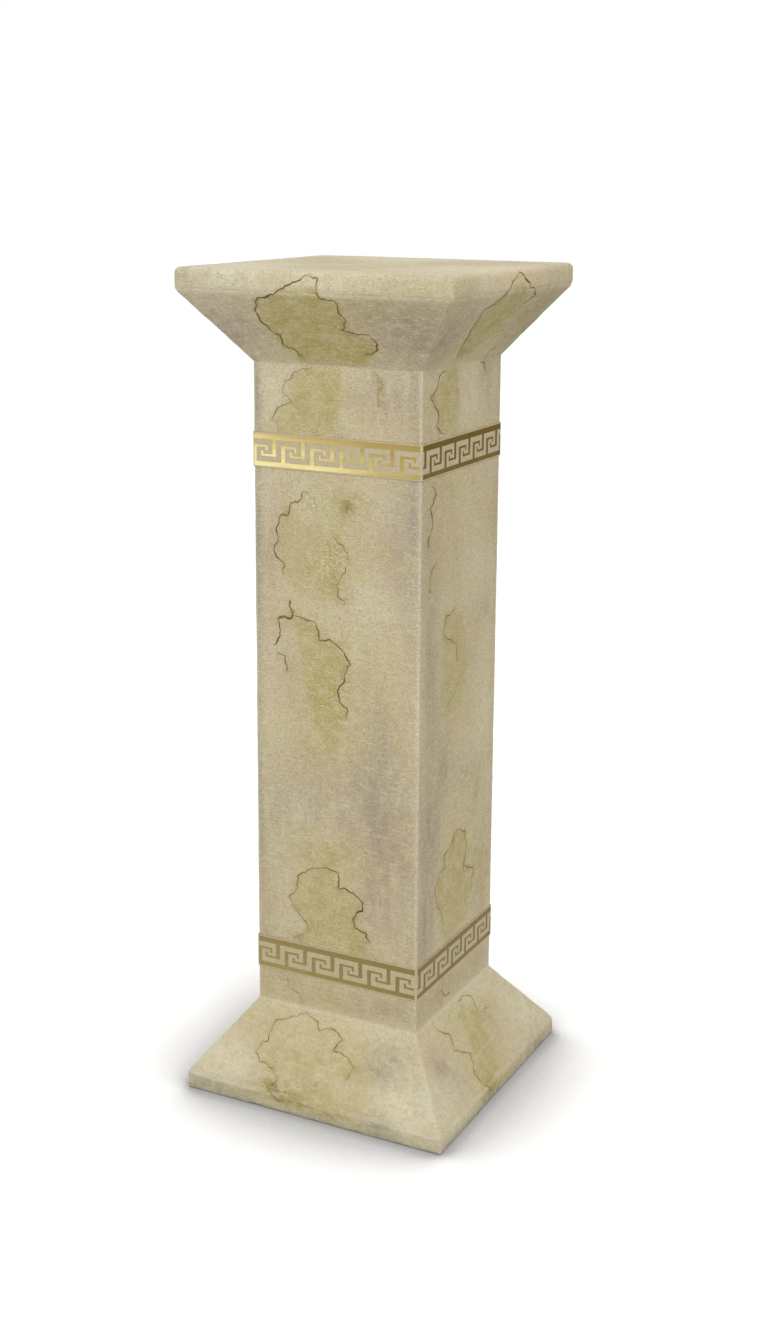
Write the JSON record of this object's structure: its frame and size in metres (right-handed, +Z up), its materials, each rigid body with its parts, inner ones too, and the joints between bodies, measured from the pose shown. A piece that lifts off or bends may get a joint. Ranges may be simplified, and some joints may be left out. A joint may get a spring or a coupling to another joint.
{
  "type": "square pedestal pillar",
  "caption": "Square pedestal pillar, a casting with a sloped cap and base and a gilt Greek-key border round the shaft near each end.",
  "frame": {"origin": "middle of the foot, on the floor", "axes": "+Z up the shaft; the faces of the shaft look along X and Y, and each border's key starts at the left edge of the -Y face"},
  "size_m": [0.277, 0.277, 0.8],
  "materials": {
    "painted_casting": "cast plaster with a sandy skin, hand painted as cream and olive marble, satin lacquer",
    "gilt_border": "gold foil key on a cream film"
  },
  "bodies": {
    "root": {"pillar": "painted_casting", "upper_border": "gilt_border", "lower_border": "gilt_border"}
  },
  "joints": []
}
